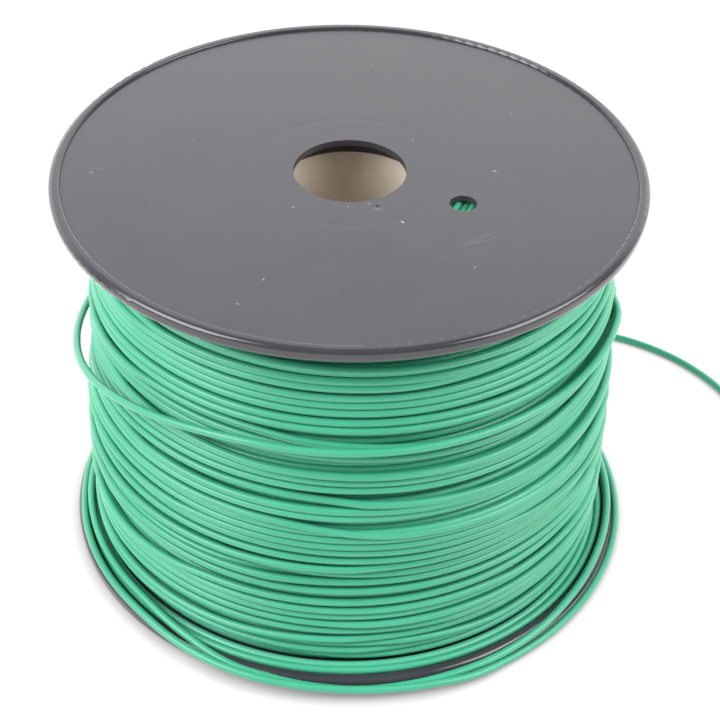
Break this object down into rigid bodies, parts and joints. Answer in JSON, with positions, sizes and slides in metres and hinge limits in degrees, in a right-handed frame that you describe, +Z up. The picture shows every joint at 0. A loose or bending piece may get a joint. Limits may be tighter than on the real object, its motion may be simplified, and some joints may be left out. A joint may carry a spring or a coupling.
{
  "type": "wire spool",
  "caption": "Flanged reel with a tube core, closely wound with green insulated wire; slack turns lie round the lower rim and a free tail runs out over the ground.",
  "frame": {"origin": "centre of the lower rim's ground plane, on the spool's axis", "axes": "+Z up along the spool's axis; the free tail leaves the rear of the spool towards +X; -Y is the front"},
  "size_m": [0.2629, 0.2082, 0.146],
  "materials": {
    "flange_plastic": "satin",
    "core_board": "matte",
    "wire_insulation": "satin",
    "copper_strand": "satin"
  },
  "bodies": {
    "spool": {"top_flange": "flange_plastic", "bottom_flange": "flange_plastic", "core_tube": "core_board", "winding_layer_01": "wire_insulation", "winding_layer_02": "wire_insulation", "winding_layer_03": "wire_insulation", "winding_layer_04": "wire_insulation", "winding_layer_05": "wire_insulation", "winding_layer_06": "wire_insulation", "winding_layer_07": "wire_insulation", "winding_layer_08": "wire_insulation", "winding_layer_09": "wire_insulation", "winding_layer_10": "wire_insulation", "winding_layer_11": "wire_insulation", "winding_layer_12": "wire_insulation", "winding_layer_13": "wire_insulation", "winding_layer_14": "wire_insulation", "winding_layer_15": "wire_insulation", "winding_layer_16": "wire_insulation", "winding_layer_17": "wire_insulation", "winding_layer_18": "wire_insulation", "winding_layer_19": "wire_insulation", "winding_layer_20": "wire_insulation", "winding_layer_21": "wire_insulation", "winding_layer_22": "wire_insulation", "winding_layer_23": "wire_insulation", "winding_outer_turns": "wire_insulation", "corner_turn": "wire_insulation", "loose_turn": "wire_insulation"},
    "loose_coil": {"lead_off_wire": "wire_insulation", "rim_loop": "wire_insulation", "floor_loop": "wire_insulation", "tail_root": "wire_insulation"},
    "tail_1": {"tail_insulation_1": "wire_insulation", "tail_conductor_1": "copper_strand"},
    "tail_2": {"tail_insulation_2": "wire_insulation", "tail_conductor_2": "copper_strand"},
    "tail_3": {"tail_insulation_3": "wire_insulation", "tail_conductor_3": "copper_strand"},
    "tail_4": {"tail_insulation_4": "wire_insulation", "tail_conductor_4": "copper_strand", "cut_end_strands": "copper_strand"}
  },
  "joints": [
    {"name": "unwind", "type": "hinge", "parent": "spool", "child": "loose_coil", "pos_m": [0, 0, 0], "axis": [0, 0, 1], "continuous": true},
    {"name": "tail_swing_1", "type": "hinge", "parent": "loose_coil", "child": "tail_1", "pos_m": [0.03553, 0.10052, 0.00135], "axis": [0, 0, 1], "range_deg": [-10, 40]},
    {"name": "tail_lift_1", "type": "hinge", "parent": "tail_1", "child": "tail_2", "pos_m": [0.0875, 0.09871, 0.00135], "axis": [-0.0349, -0.9994, 0], "range_deg": [0, 35]},
    {"name": "tail_swing_2", "type": "hinge", "parent": "tail_2", "child": "tail_3", "pos_m": [0.12016, 0.09027, 0.00135], "axis": [0, 0, 1], "range_deg": [-10, 40]},
    {"name": "tail_lift_2", "type": "hinge", "parent": "tail_3", "child": "tail_4", "pos_m": [0.1462, 0.06883, 0.00135], "axis": [-0.7875, -0.6163, 0], "range_deg": [0, 35]}
  ],
  "couplings": [
    {"joint": "tail_swing_2", "follows": "tail_swing_1", "ratio": 1},
    {"joint": "tail_lift_2", "follows": "tail_lift_1", "ratio": 1}
  ]
}
